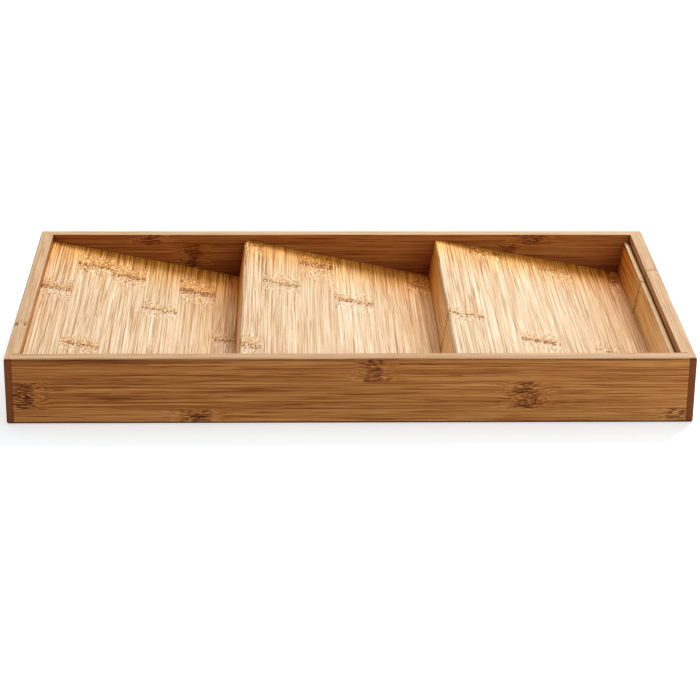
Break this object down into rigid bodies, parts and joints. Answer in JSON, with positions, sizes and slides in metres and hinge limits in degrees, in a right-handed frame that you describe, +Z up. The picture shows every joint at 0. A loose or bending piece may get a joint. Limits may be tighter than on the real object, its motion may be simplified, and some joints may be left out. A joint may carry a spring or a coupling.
{
  "type": "stepped compartment tray",
  "caption": "Shallow rectangular bamboo tray with rabbeted corners and a saw-tooth floor of tilted boards, each ending at a leaning riser.",
  "frame": {"origin": "middle of the footprint, on the surface that the tray stands on", "axes": "+X to the right along the tray, the way the floor boards fall; +Y towards the back wall; +Z up"},
  "size_m": [0.45, 0.25, 0.046],
  "materials": {
    "wall_bamboo": "caramel-toned laminated bamboo, grain along the wall, satin oil finish",
    "floor_bamboo": "light edge-glued bamboo strips, grain from front to back, satin oil finish",
    "riser_bamboo": "honey-toned bamboo strip, satin oil finish",
    "hidden_bamboo": "plain sanded bamboo"
  },
  "bodies": {
    "root": {"front_wall": "wall_bamboo", "back_wall": "wall_bamboo", "left_wall": "wall_bamboo", "right_wall": "wall_bamboo", "bottom_panel": "hidden_bamboo", "left_floor_board": "floor_bamboo", "middle_floor_board": "floor_bamboo", "right_floor_board": "floor_bamboo", "left_riser": "riser_bamboo", "right_riser": "riser_bamboo", "end_stop": "riser_bamboo", "support_rail": "hidden_bamboo"}
  },
  "joints": []
}
